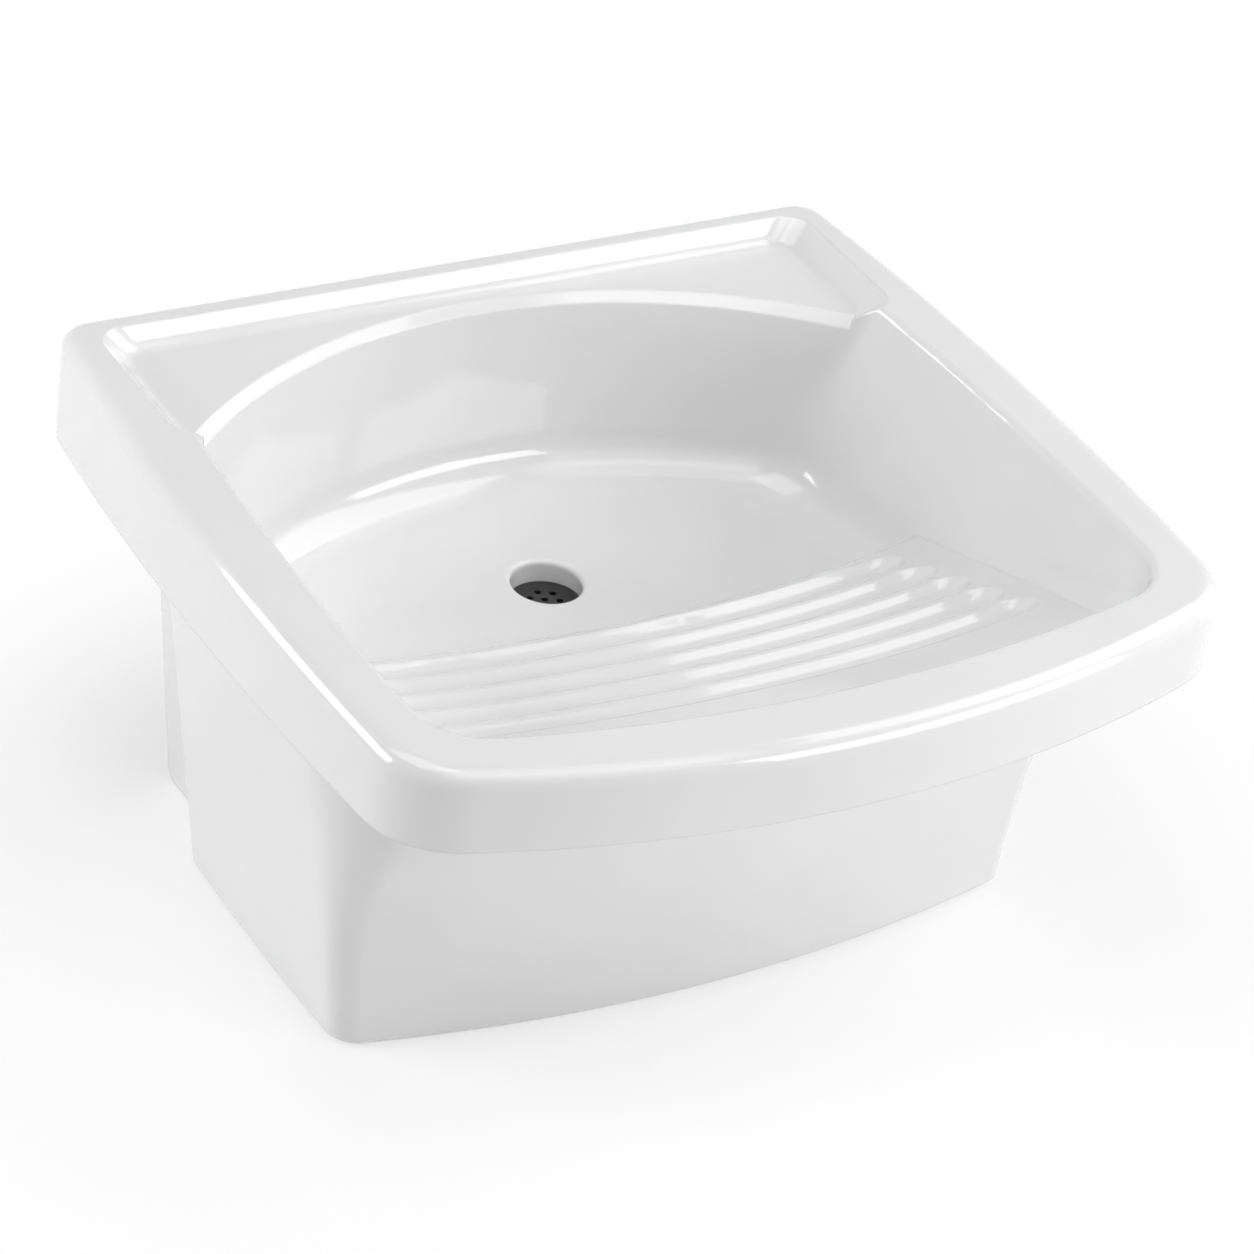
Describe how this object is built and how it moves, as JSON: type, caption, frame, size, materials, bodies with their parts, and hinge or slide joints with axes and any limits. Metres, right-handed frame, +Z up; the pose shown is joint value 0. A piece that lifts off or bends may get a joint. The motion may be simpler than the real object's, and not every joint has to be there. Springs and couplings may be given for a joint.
{
  "type": "pedestal laundry sink",
  "caption": "Glazed ceramic laundry sink with a ribbed washboard, a back trough and a deep bowl on a hollow skirted pedestal, with waste and bottle trap.",
  "frame": {"origin": "middle of the bounding box on the floor, under the pedestal", "axes": "+X to the right as seen by the user, +Y to the wall behind, +Z up; the user stands on the -Y side"},
  "size_m": [0.6, 0.5609, 0.3264],
  "materials": {
    "glaze": "gloss white glaze",
    "seal_rubber": "matte black rubber",
    "waste_black": "satin black plastic",
    "trap_white": "white moulded plastic"
  },
  "bodies": {
    "sink": {"basin": "glaze", "pedestal": "glaze", "seat_seal_left": "seal_rubber", "seat_seal_right": "seal_rubber", "waste_top_seal": "seal_rubber", "waste_under_seal": "seal_rubber", "tail_washer": "seal_rubber", "outlet_washer": "seal_rubber", "waste_body": "waste_black", "friction_washer": "trap_white", "waste_backnut": "trap_white", "tail_nut": "trap_white", "trap_body": "trap_white", "trap_dip_tube": "trap_white", "outlet_nut": "trap_white", "outlet_pipe": "trap_white"},
    "strainer": {"waste_strainer": "waste_black"},
    "cup_seal": {"trap_cup_seal": "seal_rubber"},
    "cup": {"trap_cup": "trap_white"}
  },
  "joints": [
    {"name": "strainer_lift", "type": "slide", "parent": "sink", "child": "strainer", "axis": [0, 0, 1], "range_m": [0, 0.06]},
    {"name": "cup_drop", "type": "slide", "parent": "sink", "child": "cup_seal", "axis": [0, 0, -1], "range_m": [0, 0.01]},
    {"name": "cup_turn", "type": "hinge", "parent": "cup_seal", "child": "cup", "pos_m": [0, 0.11663, 0.027], "axis": [0, 0, -1], "range_deg": [0, 1440]}
  ],
  "couplings": [
    {"joint": "cup_drop", "follows": "cup_turn", "m_per_rad": 0.00039789}
  ]
}
